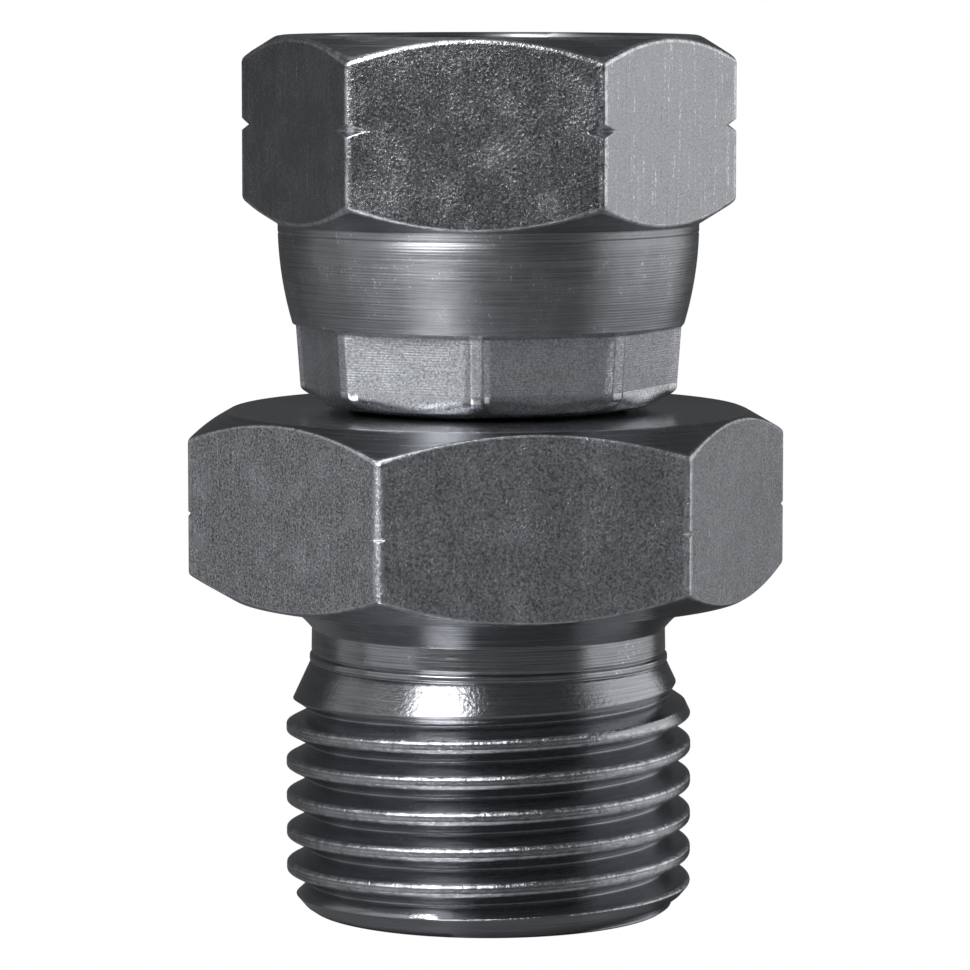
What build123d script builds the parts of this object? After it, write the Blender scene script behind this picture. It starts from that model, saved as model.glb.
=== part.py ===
from build123d import *
import math
import os

# Straight face seal adapter. A turned steel body has a male G 1/2 pipe thread
# below, a hexagon in the middle and a flat-faced nipple above. A hexagon nut is
# crimped over the nipple's head and turns on it.
# Millimetres. +Z runs from the male end to the nut. The origin is on the axis,
# in the plane of the flat male end, on which the fitting stands.

# Male pipe thread, G 1/2: parallel, 14 to the inch, 55 degree form. The solids
# have its plain blank, which is as wide as the crests.
thread_pitch = 25.4 / 14
thread_depth = 0.64 * thread_pitch
thread_crest_r = 10.45
thread_length = 10.15
lead_chamfer_depth = 1.10
lead_chamfer_length = 1.30

# Undercut neck between the thread and the hexagon.
neck_undercut = 0.15
neck_length = 1.55
neck_flare = 1.75
runout_angle = 25.0

# Body hexagon.
body_hex_af = 27.0
body_hex_height = 9.60
body_land_margin = 0.25
body_chamfer_angle = 30.0
body_notch_depth = 0.22
body_notch_height = 4.44
body_notch_angle = 40.0

# Nipple: shaft, conical back and flat sealing head.
shaft_r = 7.00
head_r = 8.40
head_height = 3.65
head_edge_chamfer = 0.80

# Through passage: 60 degree seat at the male end, wide bore, narrow bore.
seat_mouth_r = 7.75
seat_half_angle = 30.0
wide_bore_r = 5.00
wide_bore_depth = 19.0
drill_half_angle = 59.0
narrow_bore_r = 3.75

# Swivel nut: hexagon, and the minor bore of its 11/16-16 UN thread.
nut_hex_af = 22.0
nut_hex_height = 9.60
nut_land_margin = 0.20
nut_chamfer_angle = 32.0
nut_notch_depth = 0.45
nut_notch_height = 5.04
nut_notch_angle = 37.0
nut_turn = -13.0
nut_thread_minor_r = 7.87
nut_mouth_chamfer = 0.80

# Tail of the nut: a curved taper, as wide as the hexagon's land at the top, down to
# a crimped end of eight pressed flats.
tail_curve_length = 5.20
tail_curve_drop = 0.76
crimp_count = 8
crimp_length = 4.06
crimp_flat_depth = 0.89
crimp_end_drop = 0.42
crimp_end_fillet = 0.50

# Clearances of the swivel.
nut_gap = 0.29
shaft_clearance = 0.30
head_clearance = 0.50
shoulder_play = 0.25
shoulder_drop = 0.20
thread_end_gap = 0.70

# Cutting shapes reach this far past the surfaces that they cut.
overshoot = 0.30


def tan_deg(angle):
    return math.tan(math.radians(angle))


def chamfered_hexagon(across_flats, height, land_r, chamfer_angle, turn, base_z):
    """A hexagon bar with both ends turned down to a round land."""
    corner_r = across_flats / math.sqrt(3)
    chamfer_length = (corner_r - land_r) * tan_deg(chamfer_angle)
    with BuildPart() as hexagon:
        with BuildSketch(Plane.XY.offset(base_z)):
            RegularPolygon(across_flats / 2, 6, major_radius=False, rotation=turn)
        extrude(amount=height)
        with BuildSketch(Plane.XZ):
            with BuildLine():
                Polyline(
                    (0, base_z),
                    (land_r, base_z),
                    (corner_r, base_z + chamfer_length),
                    (corner_r, base_z + height - chamfer_length),
                    (land_r, base_z + height),
                    (0, base_z + height),
                    close=True,
                )
            make_face()
        revolve(axis=Axis.Z, mode=Mode.INTERSECT)
    return hexagon.part


def corner_notches(across_flats, depth, half_angle, middle_z):
    """A ring of V section, which only touches a hexagon at its corners."""
    corner_r = across_flats / math.sqrt(3)
    half_mouth = (depth + overshoot) * tan_deg(half_angle)
    with BuildPart() as ring:
        with BuildSketch(Plane.XZ):
            with BuildLine():
                Polyline(
                    (corner_r - depth, middle_z),
                    (corner_r + overshoot, middle_z - half_mouth),
                    (corner_r + overshoot, middle_z + half_mouth),
                    close=True,
                )
            make_face()
        revolve(axis=Axis.Z)
    return ring.part


# Radii and heights that follow from the sizes above, from the male end up.
neck_r = thread_crest_r - thread_depth - neck_undercut
body_land_r = body_hex_af / 2 - body_land_margin
tail_r = nut_hex_af / 2 - nut_land_margin
crimp_top_r = tail_r - tail_curve_drop
neck_bottom_z = thread_length + (thread_crest_r - neck_r) / tan_deg(runout_angle)
neck_top_z = neck_bottom_z + neck_length
hex_bottom_z = neck_top_z + neck_flare
hex_top_z = hex_bottom_z + body_hex_height
nut_bottom_z = hex_top_z + nut_gap
crimp_top_z = nut_bottom_z + crimp_length
tail_top_z = crimp_top_z + tail_curve_length
nut_top_z = tail_top_z + nut_hex_height

# The nut's shoulder and the conical back of the head face each other at 45 degrees.
tail_bore_r = shaft_r + shaft_clearance
relief_r = head_r + head_clearance
shoulder_bottom_z = crimp_top_z - shoulder_drop
shoulder_top_z = shoulder_bottom_z + relief_r - tail_bore_r
head_back_z = shoulder_bottom_z + shoulder_play
head_bottom_z = head_back_z + head_r - shaft_r
head_face_z = head_bottom_z + head_height
nut_thread_bottom_z = head_face_z + thread_end_gap

# Lengths of the conical steps in the passage.
seat_depth = (seat_mouth_r - wide_bore_r) / tan_deg(seat_half_angle)
drill_depth = (wide_bore_r - narrow_bore_r) / tan_deg(drill_half_angle)

body_hexagon = chamfered_hexagon(
    body_hex_af,
    body_hex_height,
    body_land_r,
    body_chamfer_angle,
    0,
    hex_bottom_z,
)
body_notches = corner_notches(
    body_hex_af,
    body_notch_depth,
    body_notch_angle,
    hex_bottom_z + body_notch_height,
)

# Body: hexagon, then nipple, neck and threaded end, then the passage.
with BuildPart() as body:
    add(body_hexagon)
    add(body_notches, mode=Mode.SUBTRACT)
    with BuildSketch(Plane.XZ):
        with BuildLine():
            Polyline(
                (0, hex_top_z),
                (shaft_r, hex_top_z),
                (shaft_r, head_back_z),
                (head_r, head_bottom_z),
                (head_r, head_face_z - head_edge_chamfer),
                (head_r - head_edge_chamfer, head_face_z),
                (0, head_face_z),
                close=True,
            )
        make_face()
        with BuildLine():
            Polyline(
                (0, 0),
                (thread_crest_r - lead_chamfer_depth, 0),
                (thread_crest_r, lead_chamfer_length),
                (thread_crest_r, thread_length),
                (neck_r, neck_bottom_z),
                (neck_r, neck_top_z),
                (neck_r + neck_flare, hex_bottom_z),
                (0, hex_bottom_z),
                close=True,
            )
        make_face()
    revolve(axis=Axis.Z)
    with BuildSketch(Plane.XZ):
        with BuildLine():
            Polyline(
                (0, 0),
                (seat_mouth_r, 0),
                (wide_bore_r, seat_depth),
                (wide_bore_r, wide_bore_depth),
                (narrow_bore_r, wide_bore_depth + drill_depth),
                (narrow_bore_r, head_face_z),
                (0, head_face_z),
                close=True,
            )
        make_face()
    revolve(axis=Axis.Z, mode=Mode.SUBTRACT)

nut_hexagon = chamfered_hexagon(
    nut_hex_af,
    nut_hex_height,
    tail_r,
    nut_chamfer_angle,
    nut_turn,
    tail_top_z,
)
nut_notches = corner_notches(
    nut_hex_af,
    nut_notch_depth,
    nut_notch_angle,
    tail_top_z + nut_notch_height,
)

# Swivel nut: hexagon and tail, pressed flats, rounded end, then the inside.
with BuildPart() as swivel_nut:
    add(nut_hexagon)
    add(nut_notches, mode=Mode.SUBTRACT)
    with BuildSketch(Plane.XZ):
        with BuildLine():
            Polyline(
                (tail_r, tail_top_z),
                (0, tail_top_z),
                (0, nut_bottom_z),
                (crimp_top_r - crimp_end_drop, nut_bottom_z),
                (crimp_top_r, crimp_top_z),
            )
            TangentArc(
                (tail_r, tail_top_z),
                (crimp_top_r, crimp_top_z),
                tangent=(0, -1),
            )
        make_face()
    revolve(axis=Axis.Z)
    with BuildSketch(Plane.XY.offset(nut_bottom_z)):
        Circle(tail_r)
        RegularPolygon(
            crimp_top_r - crimp_flat_depth,
            crimp_count,
            major_radius=False,
            rotation=nut_turn,
            mode=Mode.SUBTRACT,
        )
    extrude(amount=crimp_length, mode=Mode.SUBTRACT)
    fillet(swivel_nut.edges().group_by(Axis.Z)[0], crimp_end_fillet)
    with BuildSketch(Plane.XZ):
        with BuildLine():
            Polyline(
                (0, nut_bottom_z),
                (tail_bore_r, nut_bottom_z),
                (tail_bore_r, shoulder_bottom_z),
                (relief_r, shoulder_top_z),
                (relief_r, nut_thread_bottom_z),
                (nut_thread_minor_r, nut_thread_bottom_z),
                (nut_thread_minor_r, nut_top_z - nut_mouth_chamfer),
                (nut_thread_minor_r + nut_mouth_chamfer, nut_top_z),
                (0, nut_top_z),
                close=True,
            )
        make_face()
    revolve(axis=Axis.Z, mode=Mode.SUBTRACT)

body.part.label = "body"
swivel_nut.part.label = "swivel_nut"

os.makedirs("parts", exist_ok=True)
export_step(body.part, "parts/body.step")
export_step(swivel_nut.part, "parts/swivel_nut.step")
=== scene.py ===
import math
from collections import namedtuple

import bmesh
import bpy
import numpy as np
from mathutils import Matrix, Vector


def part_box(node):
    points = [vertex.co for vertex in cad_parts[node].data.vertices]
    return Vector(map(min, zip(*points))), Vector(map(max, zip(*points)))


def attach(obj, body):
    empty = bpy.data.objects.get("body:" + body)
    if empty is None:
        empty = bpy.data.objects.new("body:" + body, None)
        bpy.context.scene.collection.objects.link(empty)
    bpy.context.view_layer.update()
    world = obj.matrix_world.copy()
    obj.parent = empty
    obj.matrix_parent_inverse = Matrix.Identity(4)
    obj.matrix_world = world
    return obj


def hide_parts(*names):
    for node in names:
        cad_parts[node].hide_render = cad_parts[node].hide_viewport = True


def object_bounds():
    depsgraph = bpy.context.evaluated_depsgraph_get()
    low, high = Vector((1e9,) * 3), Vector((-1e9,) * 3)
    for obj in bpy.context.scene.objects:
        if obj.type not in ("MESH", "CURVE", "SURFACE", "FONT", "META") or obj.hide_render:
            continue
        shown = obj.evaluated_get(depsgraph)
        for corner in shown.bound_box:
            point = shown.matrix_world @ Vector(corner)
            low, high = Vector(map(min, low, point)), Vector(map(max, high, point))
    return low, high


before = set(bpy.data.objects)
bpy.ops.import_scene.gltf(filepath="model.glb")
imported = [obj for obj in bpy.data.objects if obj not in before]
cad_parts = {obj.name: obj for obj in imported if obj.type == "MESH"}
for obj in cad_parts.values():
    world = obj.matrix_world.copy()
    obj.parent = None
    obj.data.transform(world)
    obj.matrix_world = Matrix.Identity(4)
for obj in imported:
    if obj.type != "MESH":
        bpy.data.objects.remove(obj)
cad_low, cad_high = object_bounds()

# Straight face seal adapter of zinc plated steel: a turned body with a male pipe
# thread, and a crimped swivel nut. Each is one lathed mesh whose outline is worked
# out in millimetres for every column of the mesh, and is then scaled to metres.
MM = 0.001
body_low, body_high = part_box("body")
nut_low, nut_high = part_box("swivel_nut")

# Body: hexagon, neck, thread blank, nipple and passage.
BODY_AF = (body_high.y - body_low.y) / MM
BODY_CORNER_ROUNDS = (0.30, 0.35, 0.30, 0.35, 0.42, 0.16)
BODY_LAND_R = BODY_AF / 2 - 0.25
BODY_CHAMFER_ANGLE = 30.0
BODY_HEX_HEIGHT = 9.60
NECK_R = 9.14
NECK_LENGTH = 1.55
NECK_FLARE = 1.75
SHAFT_R = 7.00
HEAD_R = 8.40
HEAD_CHAMFER = 0.80
HEAD_HEIGHT = 3.65
SEAT_MOUTH_R = 7.75
WIDE_BORE_R = 5.00
WIDE_BORE_TOP_Z = 19.0
NARROW_BORE_R = 3.75
DRILL_HALF_ANGLE = 59.0
SEAT_HALF_ANGLE = 30.0

# Curve of the flare from the neck out to the hexagon: radius beyond the neck's, height
# above the neck, rounding.
FLARE_STEPS = ((-0.02, 0.10, 0.04), (0.05, 0.20, 0.03), (0.45, 0.65, 0.40))
FLARE_ROUND = 0.25

# Male thread, G 1/2.
THREAD_PITCH = 25.4 / 14
THREAD_DEPTH = 0.64 * THREAD_PITCH
THREAD_CREST_R = 10.45
THREAD_CREST_HALF = 0.25
THREAD_FLANK_ANGLE = 27.5
THREAD_CREST_Z = 1.311
THREAD_TOP_Z = 12.76
THREAD_FADE_Z = 11.15
THREAD_FADE_SLOPE = 1.8
LEAD_START_R = 9.35
LEAD_LENGTH = 1.30
RUNOUT_START_Z = 10.15
RUNOUT_ANGLE = 25.0
END_EDGE_R = 9.20
END_EDGE_SLOPE = 1.5
THREAD_EDGE_ROUND = 0.19

# Two fine turned lines where the thread's runout meets the neck: radius, height above
# the top of the thread, wear.
NECK_LINES = (
    (9.15, 0.11, 0.0),
    (9.24, 0.19, 0.3),
    (9.23, 0.45, 0.3),
    (9.08, 0.56, 0.0),
    (NECK_R, 0.68, 0.0),
)
NECK_LINE_ROUND = 0.04

# Nut: hexagon, tail and crimp.
NUT_TURN = -13.0
NUT_AF = 22.0
NUT_CORNER_ROUNDS = (0.25, 0.20, 0.28, 0.22, 0.30, 0.14)
NUT_CHAMFER_ANGLE = 32.0
NUT_HEX_HEIGHT = 9.60
TAIL_R = NUT_AF / 2 - 0.20
TAIL_LENGTH = 5.20
TAIL_DROP = 0.76
TAIL_BAND = 0.52
TAIL_EDGE_ROUND = 0.05
TAIL_EDGE_WEAR = 0.4
TAIL_ROWS = 9
TAIL_LINE_DEPTH = 0.03
TAIL_LINE_RISES = (0.05, 0.09)
TAIL_BAND_RISE = 0.14
TAIL_BAND_ROUND = 0.02
CRIMP_COUNT = 8
CRIMP_LENGTH = 4.06
CRIMP_FLAT_DISTANCE = 9.15
CRIMP_END_DROP = 0.42
CRIMP_STEP = 0.10
CRIMP_EDGE_ROUND = 0.06
CRIMP_FLAT_START = 1.1
CRIMP_FLAT_ROWS = 7
PRESSED_LINE_PITCH = 0.13
RIDGE_HALF = 0.30
RIDGE_SLOPE = 0.75
RIDGE_DROP = 0.13

# Crimp lip: a quarter round below the flats, which turns from their eight sides to a
# circle over the height of the blend.
LIP_ROUND = 0.85
LIP_R = 9.05
LIP_BLEND = 0.75
LIP_ROWS = 12

# Inside of the nut: 11/16-16 UN thread, relief and tail bore.
INNER_PITCH = 25.4 / 16
INNER_MINOR_R = 7.87
INNER_MAJOR_R = 8.73
INNER_MOUTH_R = 8.80
INNER_FLANK_ANGLE = 30.0
INNER_EDGE_ROUND = 0.08
RELIEF_R = 8.90
RELIEF_TOP = 36.01
TAIL_BORE_R = 7.30
SHOULDER_DROP = 0.20

# V notches on the hexagon corners. Their rows reach a little past the mouth.
BODY_NOTCH = {"depth": 0.22, "height": 4.44, "half_angle": 40.0}
NUT_NOTCH = {"depth": 0.45, "height": 5.04, "half_angle": 37.0}
NOTCH_ROWS = 15
NOTCH_REACH = 1.15

# Painted highlight strips along the hexagons' corners, carried as wear: how near the corner
# they begin (1 is a sharp corner), how fast and how far they grow, and their distance from
# the chamfers.
CORNER_HIGHLIGHT_START = 0.91
CORNER_HIGHLIGHT_GROWTH = 30
CORNER_HIGHLIGHT_MOST = 0.9
CORNER_HIGHLIGHT_END = 0.5

# Rounding of edges. A holding row beside each arc keeps the flat next to it flat.
SHARP_ROUND = 0.05
BODY_EDGE_ROUND = 0.09
NUT_EDGE_ROUND = 0.15
HOLD = 0.03
ARC_STEPS = (0.0, 0.35, 0.65, 1.0)

# A thread crest that a chamfer cuts lower than this isn't worn.
WHOLE_CREST = 0.02
# Vertices nearer to each other than this, in metres, become one.
WELD_DISTANCE = 2e-7

# Camera of the photograph, about the part's axis, and the lens for a 36 mm sensor.
CAMERA_AZIMUTH = -9.65
CAMERA_DISTANCE = 258.29
CAMERA_HEIGHT = 48.69
CAMERA_PITCH = 5.921
CAMERA_LENS = 187.04
CAMERA_SHIFT_X = -0.00351

# The room and the glossy floor as the metal sees them. The camera sees both as white.
ROOM_COLOR = (0.075, 0.076, 0.080, 1)
FLOOR_COLOR = (0.45, 0.45, 0.46, 1)
FLOOR_ROUGHNESS = 0.15
FLOOR_METALLIC = 0.5
FLOOR_SIZE = 3.0

# Finishes, in the order of the nut's material slots. The body has the first four.
TURNED, FLAT, THREAD, INNER, PRESSED, LIP = range(6)

Corner = namedtuple("Corner", "r z rounding wear finish", defaults=(0.0, 0.0, TURNED))


def tan_deg(angle):
    return math.tan(math.radians(angle))


# ---------------------------------------------------------------- outlines


def column_angles(step, corners, offsets):
    """Angles of the mesh's columns in degrees: evenly spread, and denser at corners."""
    angles = {round(k * step, 3) for k in range(round(360 / step) + 1)}
    for corner in corners:
        for offset in offsets:
            angles.add(round((corner + offset) % 360, 3))
            angles.add(round((corner - offset) % 360, 3))
    spaced = []
    for angle in sorted(angles):
        if not spaced or angle - spaced[-1] > 0.05:
            spaced.append(angle)
    if spaced[-1] < 360:
        spaced[-1] = 360.0
    return np.array(spaced)


def from_corner(angles, count, turn):
    """Degrees from the nearest of a number of equally spaced corners."""
    sector = 360 / count
    return (angles - turn + sector / 2) % sector - sector / 2


def hexagon_radius(angles, across_flats, turn, roundings):
    """Radius of a hexagon at each angle, each of its corners rounded by its own wear."""
    half = across_flats / 2
    nearest = np.floor((angles - turn + 30) / 60).astype(int) % 6
    rounding = np.array(roundings)[nearest]
    away = np.radians(np.abs(from_corner(angles, 6, turn)))
    flat = half / np.cos(np.radians(30) - away)
    centre = (half - rounding) / math.cos(math.radians(30))
    limit = np.arctan2(rounding / 2, centre + rounding * math.cos(math.radians(30)))
    inside = np.maximum(rounding**2 - (centre * np.sin(away)) ** 2, 0)
    return np.where(away < limit, centre * np.cos(away) + np.sqrt(inside), flat)


def hexagon_outline(
    radius, across_flats, land_r, base, height, chamfer_angle, rounding, notch
):
    """Corners up the side of a hexagon: land, chamfer, flat with its notch, chamfer."""
    sharp_corner_r = across_flats / math.sqrt(3)
    drop = (radius - land_r) * tan_deg(chamfer_angle)
    middle = base + notch["height"]
    slope = 1 / tan_deg(notch["half_angle"])
    half_mouth = NOTCH_REACH * notch["depth"] / slope
    flat_r = across_flats / 2
    nearness = (radius - flat_r) / (sharp_corner_r - flat_r)
    # Painted highlight: a bright strip along each corner of the flats, fed in as wear.
    highlight_strip = (nearness - CORNER_HIGHLIGHT_START) * CORNER_HIGHLIGHT_GROWTH
    highlight_strip = np.clip(highlight_strip, 0, CORNER_HIGHLIGHT_MOST)
    rounding = rounding * (1 + 2 * nearness**3)
    top = base + height
    rows = [
        Corner(land_r, base, SHARP_ROUND),
        Corner(radius, base + drop, 0.7 * rounding, 0.8, FLAT),
        Corner(radius, base + drop + CORNER_HIGHLIGHT_END, 0.0, highlight_strip, FLAT),
    ]
    for z in np.linspace(middle - half_mouth, middle + half_mouth, NOTCH_ROWS):
        groove = sharp_corner_r - notch["depth"] + abs(z - middle) * slope
        rows.append(Corner(np.minimum(radius, groove), z, 0.0, highlight_strip, FLAT))
    rows += [
        Corner(radius, top - drop - CORNER_HIGHLIGHT_END, 0.0, highlight_strip, FLAT),
        Corner(radius, top - drop, rounding, 1.0),
        Corner(land_r, top, rounding, 0.6),
    ]
    return rows


def thread_shape(pitch, crest_r, root_r, crest_half, flank_angle, rounding):
    """One pitch of a thread from the middle of a root to the next: offset, radius, wear."""
    flank = abs(crest_r - root_r) * tan_deg(flank_angle)
    root_edge = crest_half + flank
    corners = [
        Corner(root_r, -pitch / 2),
        Corner(root_r, -root_edge, rounding),
        Corner(crest_r, -crest_half, rounding, 1.0),
        Corner(crest_r, 0.0, 0.0, 0.6),
        Corner(crest_r, crest_half, rounding, 1.0),
        Corner(root_r, root_edge, rounding),
        Corner(root_r, pitch / 2),
    ]
    points, wear, _ = round_corners(corners, 1)
    return [(p[0, 1], p[0, 0], w[0]) for p, w in zip(points[:-1], wear[:-1])]


def thread_outline(angles, shape, pitch, crest_z, low, high, limit, finish):
    """Rows that climb with a right-hand thread, held between two heights."""
    first = math.floor((low - crest_z) / pitch) - 1
    last = math.ceil((high - crest_z) / pitch)
    rows = []
    for turn in range(first, last + 1):
        for offset, radius, wear in shape:
            crest = crest_z + turn * pitch + pitch * angles / 360
            groove = crest + math.copysign(pitch / 2, offset)
            z = np.clip(crest + offset, low, high)
            limited = limit(radius, z, groove)
            whole = np.abs(limited - radius) < WHOLE_CREST
            rows.append(Corner(limited, z, 0.0, wear * whole, finish))
    return rows


def round_corners(outline, count):
    """Rows of points, with an arc and a holding row each side of every rounded corner."""
    points = np.array(
        [
            np.stack([np.broadcast_to(c.r, count), np.broadcast_to(c.z, count)], -1)
            for c in outline
        ]
    )
    rows, wear, finish = [], [], []

    def add(row, row_wear, row_finish):
        rows.append(row)
        wear.append(np.broadcast_to(row_wear, count))
        finish.append(row_finish)

    for k, corner in enumerate(outline):
        here = points[k]
        rounding = np.broadcast_to(corner.rounding, count)[:, None]
        if not rounding.any():
            add(here, corner.wear, corner.finish)
            continue
        before = points[k - 1] - here
        after = points[(k + 1) % len(outline)] - here
        before_length = np.linalg.norm(before, axis=-1, keepdims=True)
        after_length = np.linalg.norm(after, axis=-1, keepdims=True)
        before = before / before_length
        after = after / after_length
        start = np.minimum(rounding, 0.44 * before_length)
        end = np.minimum(rounding, 0.44 * after_length)
        hold_start = np.minimum(start + HOLD, 0.48 * before_length)
        hold_end = np.minimum(end + HOLD, 0.48 * after_length)
        before_finish = outline[k - 1].finish
        add(here + before * hold_start, 0.0, before_finish)
        for s in ARC_STEPS:
            row = here + (1 - s) ** 2 * start * before + s**2 * end * after
            add(row, corner.wear, before_finish if s < 0.5 else corner.finish)
        add(here + after * hold_end, 0.0, corner.finish)
    return np.array(rows), np.array(wear), finish


# ------------------------------------------------------------------ meshes


def lathe(name, angles, outline, materials):
    """A closed mesh turned about Z, whose section may differ from column to column."""
    rows, wear, finish = round_corners(outline, len(angles))
    turn = np.radians(angles)
    count_rows, count_columns = rows.shape[:2]
    points = np.stack(
        [rows[..., 0] * np.cos(turn), rows[..., 0] * np.sin(turn), rows[..., 1]], -1
    )
    index = np.arange(count_rows * count_columns).reshape(count_rows, count_columns)
    below, above = index, np.roll(index, -1, axis=0)
    quads = np.stack([below[:, :-1], below[:, 1:], above[:, 1:], above[:, :-1]], -1)
    mesh = bpy.data.meshes.new(name)
    mesh.from_pydata(points.reshape(-1, 3) * MM, [], quads.reshape(-1, 4).tolist())
    layer = mesh.attributes.new("wear", "FLOAT", "POINT")
    layer.data.foreach_set("value", wear.ravel())
    mesh.polygons.foreach_set("material_index", np.repeat(finish, count_columns - 1))
    weld = bmesh.new()
    weld.from_mesh(mesh)
    bmesh.ops.remove_doubles(weld, verts=weld.verts, dist=WELD_DISTANCE)
    bmesh.ops.recalc_face_normals(weld, faces=weld.faces)
    for face in weld.faces:
        face.smooth = True
    weld.to_mesh(mesh)
    weld.free()
    for material in materials:
        mesh.materials.append(material)
    piece = bpy.data.objects.new(name, mesh)
    bpy.context.scene.collection.objects.link(piece)
    return piece


def make_body(materials):
    """The turned body, from the seat round the outside and back down the passage."""
    corners = [60 * k for k in range(6)]
    spread = (0, 0.25, 0.5, 0.7, 0.85, 1.0, 1.3, 1.7, 2.2)
    angles = column_angles(2.0, corners, spread)
    neck_bottom_z = RUNOUT_START_Z + (THREAD_CREST_R - NECK_R) / tan_deg(RUNOUT_ANGLE)
    neck_top_z = neck_bottom_z + NECK_LENGTH
    hex_bottom_z = neck_top_z + NECK_FLARE
    hex_top_z = hex_bottom_z + BODY_HEX_HEIGHT
    head_face_z = body_high.z / MM
    head_bottom_z = head_face_z - HEAD_HEIGHT
    head_back_z = head_bottom_z - (HEAD_R - SHAFT_R)
    seat_depth = (SEAT_MOUTH_R - WIDE_BORE_R) / tan_deg(SEAT_HALF_ANGLE)
    drill_depth = (WIDE_BORE_R - NARROW_BORE_R) / tan_deg(DRILL_HALF_ANGLE)

    def blank(radius, z, groove):
        """The thread ends where the tool is drawn out, and lies within its chamfers."""
        floor = THREAD_CREST_R - THREAD_DEPTH + THREAD_FADE_SLOPE * (groove - THREAD_FADE_Z)
        radius = np.maximum(radius, floor)
        edge = END_EDGE_R + END_EDGE_SLOPE * z
        lead = LEAD_START_R + (THREAD_CREST_R - LEAD_START_R) * z / LEAD_LENGTH
        runout = THREAD_CREST_R - (z - RUNOUT_START_Z) * tan_deg(RUNOUT_ANGLE)
        return np.minimum.reduce([radius, edge, lead, runout])

    shape = thread_shape(
        THREAD_PITCH,
        THREAD_CREST_R,
        THREAD_CREST_R - THREAD_DEPTH,
        THREAD_CREST_HALF,
        THREAD_FLANK_ANGLE,
        THREAD_EDGE_ROUND,
    )
    outline = [Corner(SEAT_MOUTH_R, 0.0, 0.10, 0.5)]
    outline += thread_outline(
        angles, shape, THREAD_PITCH, THREAD_CREST_Z, 0.0, THREAD_TOP_Z, blank, THREAD
    )
    for line_r, rise, wear in NECK_LINES:
        outline.append(Corner(line_r, THREAD_TOP_Z + rise, NECK_LINE_ROUND, wear))
    for step, rise, rounding in FLARE_STEPS:
        outline.append(Corner(NECK_R + step, neck_top_z + rise, rounding))
    outline.append(Corner(NECK_R + NECK_FLARE, hex_bottom_z, FLARE_ROUND))
    radius = hexagon_radius(angles, BODY_AF, 0.0, BODY_CORNER_ROUNDS)
    outline += hexagon_outline(
        radius,
        BODY_AF,
        BODY_LAND_R,
        hex_bottom_z,
        BODY_HEX_HEIGHT,
        BODY_CHAMFER_ANGLE,
        BODY_EDGE_ROUND,
        BODY_NOTCH,
    )
    outline += [
        Corner(SHAFT_R, hex_top_z, 0.25),
        Corner(SHAFT_R, head_back_z, 0.15),
        Corner(HEAD_R, head_bottom_z, 0.12),
        Corner(HEAD_R, head_face_z - HEAD_CHAMFER, 0.10, 0.5),
        Corner(HEAD_R - HEAD_CHAMFER, head_face_z, 0.08, 0.5),
        Corner(NARROW_BORE_R, head_face_z, 0.12, 0.5, INNER),
        Corner(NARROW_BORE_R, WIDE_BORE_TOP_Z + drill_depth, 0.05, 0.0, INNER),
        Corner(WIDE_BORE_R, WIDE_BORE_TOP_Z, 0.05, 0.0, INNER),
        Corner(WIDE_BORE_R, seat_depth, 0.05, 0.0, TURNED),
    ]
    return lathe("dressed_body", angles, outline, materials)


def crimp_radius(angles, z, bottom):
    """Radius of the crimped end: eight pressed flats with a narrow ridge between."""
    away = np.radians(np.abs(from_corner(angles, CRIMP_COUNT, NUT_TURN)))
    taper = (CRIMP_END_DROP - RIDGE_DROP) * (1 - (z - bottom) / CRIMP_LENGTH)
    flat = (CRIMP_FLAT_DISTANCE - taper) / np.cos(math.pi / CRIMP_COUNT - away)
    cone = TAIL_R - TAIL_DROP - RIDGE_DROP - taper
    beside = np.maximum(cone * np.sin(away) - RIDGE_HALF, 0)
    return np.maximum(np.minimum(flat, cone), cone - RIDGE_SLOPE * beside)


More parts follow.
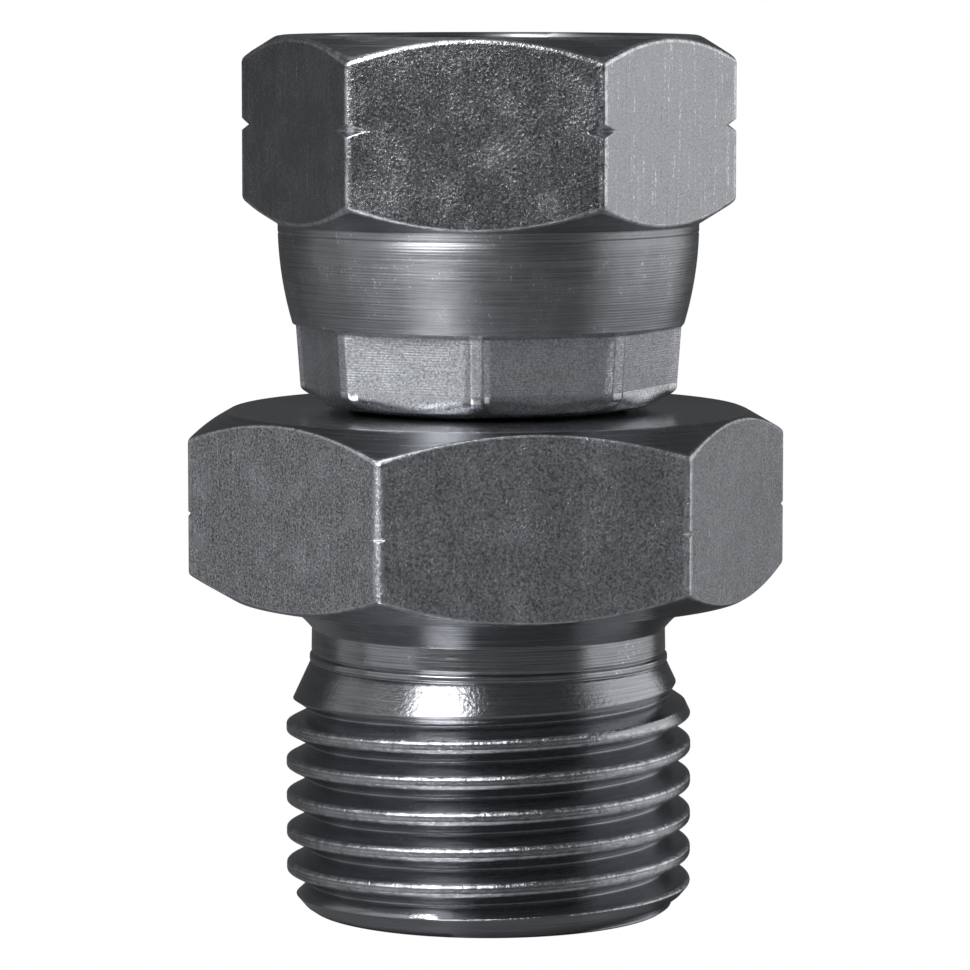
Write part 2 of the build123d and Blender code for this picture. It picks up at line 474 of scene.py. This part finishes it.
def make_nut(materials):
    """The swivel nut, from its bore out over the crimp and back down its thread."""
    spread = (0, 0.2, 0.4, 0.65, 0.9, 1.2, 1.6, 2.1, 2.7, 3.4)
    ridge_spread = (0, 1.0, 1.6, 1.9, 2.3, 2.8, 3.4, 4.4, 6.0)
    hexagon = column_angles(3.0, [NUT_TURN + 60 * k for k in range(6)], spread)
    ridges = [NUT_TURN + 45 * k for k in range(CRIMP_COUNT)]
    octagon = column_angles(360, ridges, ridge_spread)
    angles = np.unique(np.concatenate([hexagon, octagon]).round(2))
    angles = angles[np.append(np.diff(angles) > 0.08, True)]
    bottom = nut_low.z / MM
    top = nut_high.z / MM
    crimp_top_z = bottom + CRIMP_LENGTH
    tail_top_z = crimp_top_z + TAIL_LENGTH
    shoulder_z = crimp_top_z - SHOULDER_DROP

    def tail_radius(z):
        return TAIL_R - TAIL_DROP * ((tail_top_z - z) / TAIL_LENGTH) ** 2

    outline = [Corner(TAIL_BORE_R, bottom, 0.10, 0.0, PRESSED)]
    flats = crimp_radius(angles, bottom + LIP_ROUND, bottom)
    for a in np.radians(np.linspace(0, 90, LIP_ROWS)):
        inward = LIP_ROUND * (1 - math.sin(a))
        rise = LIP_ROUND * (1 - math.cos(a))
        blend = min((LIP_ROUND - rise) / LIP_BLEND, 1.0)
        circle_part = blend**2 * (3 - 2 * blend)
        radius = flats + (LIP_R - flats) * circle_part - inward
        outline.append(Corner(radius, bottom + rise, 0.0, 0.0, LIP))
    crimp_edge_z = crimp_top_z - CRIMP_STEP
    for z in np.linspace(bottom + CRIMP_FLAT_START, crimp_edge_z, CRIMP_FLAT_ROWS):
        rounding = CRIMP_EDGE_ROUND if z > crimp_edge_z - CRIMP_STEP else 0.0
        radius = crimp_radius(angles, z, bottom)
        outline.append(Corner(radius, z, rounding, 0.0, PRESSED))
    tail_edge_z = crimp_top_z + CRIMP_STEP
    outline.append(
        Corner(tail_radius(tail_edge_z), tail_edge_z, TAIL_EDGE_ROUND, TAIL_EDGE_WEAR)
    )
    line_z = tail_top_z - TAIL_BAND
    for z in np.linspace(tail_edge_z, line_z, TAIL_ROWS)[1:]:
        outline.append(Corner(tail_radius(z), z))
    for rise in TAIL_LINE_RISES:
        outline.append(Corner(tail_radius(line_z) - TAIL_LINE_DEPTH, line_z + rise))
    outline.append(Corner(TAIL_R, line_z + TAIL_BAND_RISE, TAIL_BAND_ROUND))
    radius = hexagon_radius(angles, NUT_AF, NUT_TURN, NUT_CORNER_ROUNDS)
    outline += hexagon_outline(
        radius,
        NUT_AF,
        TAIL_R,
        tail_top_z,
        NUT_HEX_HEIGHT,
        NUT_CHAMFER_ANGLE,
        NUT_EDGE_ROUND,
        NUT_NOTCH,
    )

    def bore(radius, z, _):
        """The thread starts in a chamfer at the mouth and ends in the relief."""
        mouth = INNER_MOUTH_R - (top - z)
        relief = RELIEF_R - (z - RELIEF_TOP)
        return np.maximum.reduce([np.full_like(z, radius), mouth, relief])

    crest_half = INNER_PITCH / 8
    shape = thread_shape(
        INNER_PITCH,
        INNER_MINOR_R,
        INNER_MAJOR_R,
        crest_half,
        INNER_FLANK_ANGLE,
        INNER_EDGE_ROUND,
    )
    rows = thread_outline(
        angles, shape, INNER_PITCH, top, RELIEF_TOP, top, bore, INNER
    )
    outline += rows[::-1]
    outline += [
        Corner(RELIEF_R, shoulder_z + RELIEF_R - TAIL_BORE_R, 0.15, 0.0, INNER),
        Corner(TAIL_BORE_R, shoulder_z, 0.10, 0.0, INNER),
    ]
    return lathe("dressed_nut", angles, outline, materials)


# --------------------------------------------------------------- materials


class Finish:
    """A metal finish made of nodes."""

    def __init__(self, name):
        self.material = bpy.data.materials.new(name)
        self.material.use_nodes = True
        self.tree = self.material.node_tree
        self.shader = self.tree.nodes["Principled BSDF"]
        self.shader.inputs["Metallic"].default_value = 1.0

    def add(self, kind, inputs=None, **settings):
        node = self.tree.nodes.new("ShaderNode" + kind)
        for key, value in settings.items():
            setattr(node, key, value)
        self.set(node, inputs or {})
        return node

    def set(self, node, inputs):
        for key, value in inputs.items():
            if isinstance(value, bpy.types.NodeSocket):
                self.tree.links.new(value, node.inputs[key])
            else:
                node.inputs[key].default_value = value

    def math(self, operation, *values):
        node = self.add("Math", dict(enumerate(values)), operation=operation)
        return node.outputs[0]

    def position(self):
        """Position in millimetres: the vector, and its parts with the radius."""
        place = self.add("TexCoord").outputs["Object"]
        scaled = self.add("VectorMath", {0: place, "Scale": 1000.0}, operation="SCALE")
        parts = self.add("SeparateXYZ", {0: scaled.outputs[0]}).outputs
        square = self.math("ADD", self.math("MULTIPLY", parts[0], parts[0]),
                           self.math("MULTIPLY", parts[1], parts[1]))
        return scaled.outputs[0], parts, self.math("SQRT", square)

    def noise(self, vector, scale, detail=3.0, roughness=0.6, distortion=0.0):
        node = self.add(
            "TexNoise",
            {"Vector": vector, "Scale": scale, "Detail": detail,
             "Roughness": roughness, "Distortion": distortion},
        )
        return node.outputs["Fac"]

    def streaks(self, parts, radius, along, across):
        """Noise drawn out round the axis, as a turning tool leaves it."""
        vector = self.add(
            "CombineXYZ",
            {0: self.math("MULTIPLY", parts[0], along),
             1: self.math("MULTIPLY", parts[1], along),
             2: self.math("MULTIPLY", parts[2], across)},
        )
        node = self.add(
            "TexNoise",
            {"Vector": vector.outputs[0], "Scale": 1.0, "Detail": 4.0,
             "W": self.math("MULTIPLY", radius, across)},
            noise_dimensions="4D",
        )
        return node.outputs["Fac"]

    def ramp(self, value, low, high, start=0.0, end=1.0):
        """Maps low..high to start..end, held at both ends."""
        node = self.add(
            "MapRange",
            {"Value": value, "From Min": low, "From Max": high,
             "To Min": start, "To Max": end},
        )
        return node.outputs[0]

    def mix(self, factor, a, b):
        node = self.add(
            "Mix", {"Factor": factor, "A": a, "B": b}, data_type="RGBA"
        )
        return node.outputs["Result"]

    def bump(self, height, distance, normal=None):
        inputs = {"Height": height, "Distance": distance * MM, "Strength": 1.0}
        if normal is not None:
            inputs["Normal"] = normal
        return self.add("Bump", inputs).outputs[0]

    def along_axis(self, amount):
        """Draws highlights out along the axis, across the lines of turning."""
        tangent = self.add("Tangent", direction_type="RADIAL", axis="Z").outputs[0]
        self.set(
            self.shader,
            {"Anisotropic": amount, "Anisotropic Rotation": 0.25, "Tangent": tangent},
        )

    def worn(self, color, vector, bright, strength):
        """Brings bright metal out on the edges, broken up as real wear is; on the hexagons'
        flats it also paints highlight strips along the corners.
        """
        edge = self.add("Attribute", attribute_name="wear").outputs["Fac"]
        broken = self.ramp(self.noise(vector, 2.2, 6.0, 0.7), 0.35, 0.6)
        factor = self.math("MULTIPLY", self.math("MULTIPLY", edge, broken), strength)
        return self.mix(factor, color, bright)


# Brightness of bare metal, and the range that nearly all of a noise lies in.
BRIGHT = 0.92
NOISE_RANGE = (0.3, 0.7)


def zinc(value):
    """Colour of the plating at a brightness: grey with a little blue."""
    return (0.975 * value, value, 1.045 * value, 1.0)


def turned_finish(name, base, line_pitch, line_height, roughness):
    """Steel from the lathe: feed lines round the axis, small scuffs and stains."""
    f = Finish(name)
    vector, parts, radius = f.position()
    fine = f.streaks(parts, radius, 0.25, 14.0)
    grain = f.noise(vector, 5.0, 3.0, 0.7)
    cloud = f.noise(vector, 0.5, 4.0)
    color = f.mix(f.ramp(fine, *NOISE_RANGE), zinc(0.75 * base), zinc(1.15 * base))
    color = f.mix(f.ramp(cloud, 0.45, 0.7, 0.0, 0.35), color, zinc(1.5 * base))
    scuffs = f.math("MULTIPLY", f.ramp(grain, 0.6, 0.7), f.ramp(cloud, 0.52, 0.6))
    color = f.mix(scuffs, color, zinc(BRIGHT))
    color = f.worn(color, vector, zinc(BRIGHT), 0.8)
    wobble = f.math("MULTIPLY", f.noise(vector, 0.6, 2.0), 1.5)
    travel = f.math("ADD", parts[2], f.math("MULTIPLY", radius, 0.35))
    turns = f.math("MULTIPLY", travel, 2 * math.pi / line_pitch)
    lines = f.math("SINE", f.math("ADD", turns, wobble))
    normal = f.bump(lines, line_height)
    normal = f.bump(fine, 0.012, normal)
    normal = f.bump(grain, 0.005, normal)
    f.along_axis(0.55)
    f.set(
        f.shader,
        {
            "Base Color": color,
            "Roughness": f.ramp(fine, *NOISE_RANGE, roughness - 0.05, roughness + 0.07),
            "Normal": normal,
        },
    )
    return f.material


def flat_finish(name, base, variation, depth, roughness, glint_side, distance):
    """Drawn and plated bar: fine pits, scratches and stains, and painted glints on one
    side.

    The side with painted glints faces the angle in degrees, at the distance from the axis."""
    f = Finish(name)
    vector, parts, _ = f.position()
    grain = f.noise(vector, 6.5, 3.5, 0.72, 0.3)
    specks = f.noise(vector, 9.0, 4.0, 0.75)
    cloud = f.noise(vector, 0.45, 5.0, 0.65)
    drawn = f.add("Mapping", {"Vector": vector, "Scale": (5.0, 5.0, 0.2)}).outputs[0]
    scratches = f.noise(drawn, 1.0, 3.0, 0.7)
    angle = math.radians(glint_side)
    reach = f.math("ADD", f.math("MULTIPLY", parts[0], math.cos(angle)),
                   f.math("MULTIPLY", parts[1], math.sin(angle)))
    glint_side_mask = f.ramp(reach, distance - 0.3, distance - 0.1)
    even = f.mix(f.ramp(specks, 0.38, 0.62), zinc((1 - variation) * base),
                 zinc((1 + variation) * base))
    even = f.mix(f.ramp(cloud, 0.45, 0.75, 0.0, 0.25), even, zinc(1.4 * base))
    # Painted glints: on that one side the speckle is much stronger and lighter than on the
    # other flats.
    glint_speckle = f.mix(f.ramp(specks, 0.42, 0.60), zinc(0.45 * base), zinc(1.55 * base))
    glint_speckle = f.mix(f.ramp(cloud, 0.5, 0.7, 0.0, 0.35), glint_speckle, zinc(1.8 * base))
    color = f.mix(glint_side_mask, even, glint_speckle)
    dots = f.math("MULTIPLY", f.ramp(scratches, 0.56, 0.64), f.ramp(grain, 0.52, 0.58))
    color = f.mix(f.math("MULTIPLY", dots, 0.75), color, zinc(BRIGHT))
    stains = f.math("MULTIPLY", f.ramp(scratches, 0.38, 0.30), f.ramp(grain, 0.5, 0.4))
    color = f.mix(f.math("MULTIPLY", stains, 0.7), color, zinc(0.3 * base))
    color = f.worn(color, vector, zinc(BRIGHT), 0.9)
    pits = f.math("MULTIPLY", grain, f.ramp(cloud, 0.3, 0.65, 0.6, 1.4))
    pits = f.math("MULTIPLY", pits, f.ramp(glint_side_mask, 0.0, 1.0, 1.0, 1.3))
    normal = f.bump(pits, depth)
    normal = f.bump(scratches, 0.006, normal)
    f.set(
        f.shader,
        {
            "Base Color": color,
            "Roughness": f.ramp(grain, *NOISE_RANGE, roughness + 0.06, roughness - 0.06),
            "Normal": normal,
        },
    )
    return f.material


def pressed_finish(name, base, depth, roughness):
    """Turned steel squeezed flat by a tool: mottled, with the feed lines almost gone."""
    f = Finish(name)
    vector, parts, radius = f.position()
    fine = f.streaks(parts, radius, 0.4, 12.0)
    grain = f.noise(vector, 8.0, 4.0, 0.75)
    cloud = f.noise(vector, 0.8, 4.0, 0.6)
    turns = f.math("MULTIPLY", parts[2], 2 * math.pi / PRESSED_LINE_PITCH)
    lines = f.math("MULTIPLY", f.math("SINE", turns), f.ramp(cloud, 0.40, 0.60))
    color = f.mix(f.ramp(grain, 0.38, 0.62), zinc(0.6 * base), zinc(1.35 * base))
    color = f.mix(f.ramp(cloud, 0.45, 0.7, 0.0, 0.4), color, zinc(1.4 * base))
    normal = f.bump(lines, 0.12 * depth)
    normal = f.bump(fine, 0.5 * depth, normal)
    normal = f.bump(grain, depth, normal)
    f.along_axis(0.3)
    f.set(
        f.shader,
        {
            "Base Color": color,
            "Roughness": f.ramp(grain, *NOISE_RANGE, roughness + 0.06, roughness - 0.06),
            "Normal": normal,
        },
    )
    return f.material


def thread_finish(name, base):
    """Cut thread: smooth flanks, and crests torn and polished bright in places."""
    f = Finish(name)
    vector, parts, radius = f.position()
    fine = f.streaks(parts, radius, 0.3, 12.0)
    grain = f.noise(vector, 5.0, 3.0, 0.7)
    edge = f.add("Attribute", attribute_name="wear").outputs["Fac"]
    color = f.mix(f.ramp(fine, *NOISE_RANGE), zinc(0.8 * base), zinc(1.15 * base))
    color = f.worn(color, vector, zinc(BRIGHT), 0.8)
    normal = f.bump(fine, 0.004)
    normal = f.bump(grain, 0.016, normal)
    chips = f.math("MULTIPLY", f.math("SUBTRACT", grain, 0.5), edge)
    normal = f.bump(chips, 0.05, normal)
    f.along_axis(0.3)
    f.set(
        f.shader,
        {
            "Base Color": color,
            "Roughness": f.ramp(grain, *NOISE_RANGE, 0.15, 0.25),
            "Normal": normal,
        },
    )
    return f.material


# ------------------------------------------------------- stage and lights


def camera_direction(azimuth, elevation):
    """Unit vector from the part, with azimuth measured to the camera's right."""
    a = math.radians(CAMERA_AZIMUTH + azimuth)
    e = math.radians(elevation)
    return Vector((math.sin(a) * math.cos(e), -math.cos(a) * math.cos(e), math.sin(e)))


def softbox(name, azimuth, distance, middle, width, height, radiance):
    """A rectangular light facing the axis, with sizes in metres and angles in degrees."""
    light = bpy.data.lights.new(name, "AREA")
    light.shape = "RECTANGLE"
    light.size = width
    light.size_y = height
    light.energy = radiance * math.pi * width * height
    holder = bpy.data.objects.new(name, light)
    holder.location = camera_direction(azimuth, 0) * distance
    holder.location.z = middle
    holder.rotation_mode = "QUATERNION"
    holder.rotation_quaternion = camera_direction(azimuth, 0).to_track_quat("Z", "Y")
    bpy.context.scene.collection.objects.link(holder)


def camera_white(tree, seen, other):
    """Mixes two shaders: one for the camera, one for all other rays."""
    path = tree.nodes.new("ShaderNodeLightPath")
    mix = tree.nodes.new("ShaderNodeMixShader")
    tree.links.new(path.outputs["Is Camera Ray"], mix.inputs[0])
    tree.links.new(other, mix.inputs[1])
    tree.links.new(seen, mix.inputs[2])
    return mix.outputs[0]


def make_world():
    world = bpy.data.worlds.new("studio")
    bpy.context.scene.world = world
    world.use_nodes = True
    tree = world.node_tree
    room = tree.nodes["Background"]
    room.inputs["Color"].default_value = ROOM_COLOR
    room.inputs["Strength"].default_value = 1.0
    white = tree.nodes.new("ShaderNodeBackground")
    white.inputs["Color"].default_value = (1, 1, 1, 1)
    out = tree.nodes["World Output"]
    shader = camera_white(tree, white.outputs[0], room.outputs[0])
    tree.links.new(shader, out.inputs["Surface"])


def make_floor():
    bpy.ops.mesh.primitive_plane_add(size=FLOOR_SIZE, location=(0, 0, cad_low.z))
    floor = bpy.context.object
    floor.name = "floor"
    material = bpy.data.materials.new("floor_white")
    material.use_nodes = True
    tree = material.node_tree
    paper = tree.nodes["Principled BSDF"]
    paper.inputs["Base Color"].default_value = FLOOR_COLOR
    paper.inputs["Roughness"].default_value = FLOOR_ROUGHNESS
    paper.inputs["Metallic"].default_value = FLOOR_METALLIC
    white = tree.nodes.new("ShaderNodeEmission")
    shader = camera_white(tree, white.outputs[0], paper.outputs[0])
    tree.links.new(shader, tree.nodes["Material Output"].inputs["Surface"])
    floor.data.materials.append(material)


def make_camera():
    data = bpy.data.cameras.new("photo_camera")
    data.sensor_width = 36.0
    data.lens = CAMERA_LENS
    data.shift_x = CAMERA_SHIFT_X
    data.clip_start = 0.01
    data.clip_end = 10.0
    camera = bpy.data.objects.new("photo_camera", data)
    camera.location = camera_direction(0, 0) * CAMERA_DISTANCE * MM
    camera.location.z = CAMERA_HEIGHT * MM
    back = camera_direction(0, CAMERA_PITCH)
    camera.rotation_mode = "QUATERNION"
    camera.rotation_quaternion = back.to_track_quat("Z", "Y")
    bpy.context.scene.collection.objects.link(camera)
    bpy.context.scene.camera = camera


# ------------------------------------------------------------------- build

tail = turned_finish(
    "turned_tail_steel", base=0.38, line_pitch=0.15, line_height=0.0026, roughness=0.38
)
turned = turned_finish(
    "turned_body_steel", base=0.38, line_pitch=0.15, line_height=0.0012, roughness=0.21
)
inner = turned_finish(
    "bore_steel", base=0.38, line_pitch=0.20, line_height=0.002, roughness=0.38
)
# The body's left flat gets the painted glints.
body_flat = flat_finish(
    "speckled_bar_steel",
    base=0.46,
    variation=0.55,
    depth=0.034,
    roughness=0.34,
    glint_side=210,
    distance=BODY_AF / 2,
)
# The nut's flat that faces the camera gets the painted glints.
nut_flat = flat_finish(
    "nut_steel_painted_glints",
    base=0.38,
    variation=0.10,
    depth=0.021,
    roughness=0.24,
    glint_side=257,
    distance=NUT_AF / 2,
)
pressed = pressed_finish("pressed_steel", base=0.56, depth=0.034, roughness=0.42)
# Painted highlight: the lip's colour is much lighter than the pressed flats' so that its
# highlight shows fuller; it is also smoother.
lip = pressed_finish("burnished_lip_painted_highlight", base=0.88, depth=0.007, roughness=0.25)
thread = thread_finish("thread_steel", base=0.38)

body = make_body([turned, body_flat, thread, inner])
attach(body, "fitting")
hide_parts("body")

nut = make_nut([tail, nut_flat, thread, inner, pressed, lip])
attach(nut, "nut")
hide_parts("swivel_nut")

make_world()
make_floor()
make_camera()
softbox(
    "front_left_box",
    azimuth=-33,
    distance=0.40,
    middle=0.455,
    width=0.20,
    height=0.59,
    radiance=9.0,
)
softbox(
    "low_left_box",
    azimuth=-66,
    distance=0.38,
    middle=0.13,
    width=0.26,
    height=0.26,
    radiance=0.5,
)
softbox(
    "left_box",
    azimuth=-102,
    distance=0.38,
    middle=0.15,
    width=0.16,
    height=0.30,
    radiance=0.3,
)
softbox(
    "right_box",
    azimuth=99,
    distance=0.36,
    middle=0.125,
    width=0.48,
    height=0.25,
    radiance=0.95,
)
bpy.context.scene.view_settings.view_transform = "Standard"
